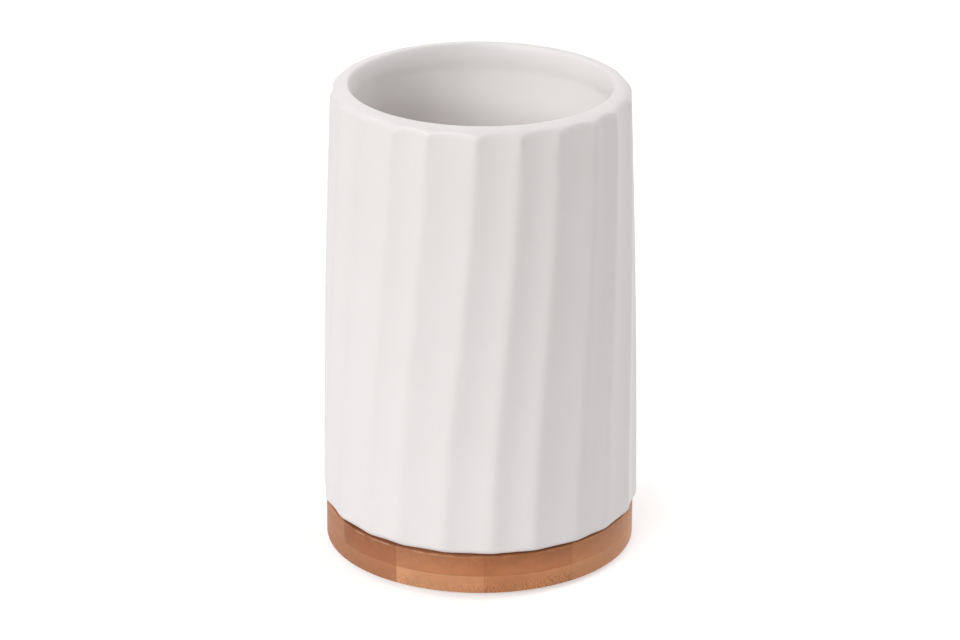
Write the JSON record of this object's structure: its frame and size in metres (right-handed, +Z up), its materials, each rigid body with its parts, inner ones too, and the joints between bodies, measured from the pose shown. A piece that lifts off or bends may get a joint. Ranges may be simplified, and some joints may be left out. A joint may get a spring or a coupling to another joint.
{
  "type": "bathroom tumbler",
  "caption": "Round ceramic bathroom tumbler with twisted concave flutes and a rounded lip, bonded to a flat laminated bamboo base on non-slip pads.",
  "frame": {"origin": "on the axis, in the plane that the undersides of the pads rest on", "axes": "+Z up along the axis, out of the mouth; -Y towards the side taken as the front; bamboo strips run along Y"},
  "size_m": [0.075, 0.075, 0.1138],
  "materials": {
    "white_glaze": "satin warm white glaze over earthenware",
    "clear_silicone": "translucent silicone, smooth",
    "bamboo": "carbonised bamboo, sanded, thin satin lacquer",
    "pad_rubber": "soft matte pad"
  },
  "bodies": {
    "root": {"cup_body": "white_glaze", "bond_ring": "clear_silicone", "upper_strip_1": "bamboo", "upper_strip_2": "bamboo", "upper_strip_3": "bamboo", "upper_strip_4": "bamboo", "upper_strip_5": "bamboo", "lower_strip_1": "bamboo", "lower_strip_2": "bamboo", "lower_strip_3": "bamboo", "lower_strip_4": "bamboo", "pad_1": "pad_rubber", "pad_2": "pad_rubber", "pad_3": "pad_rubber"}
  },
  "joints": []
}
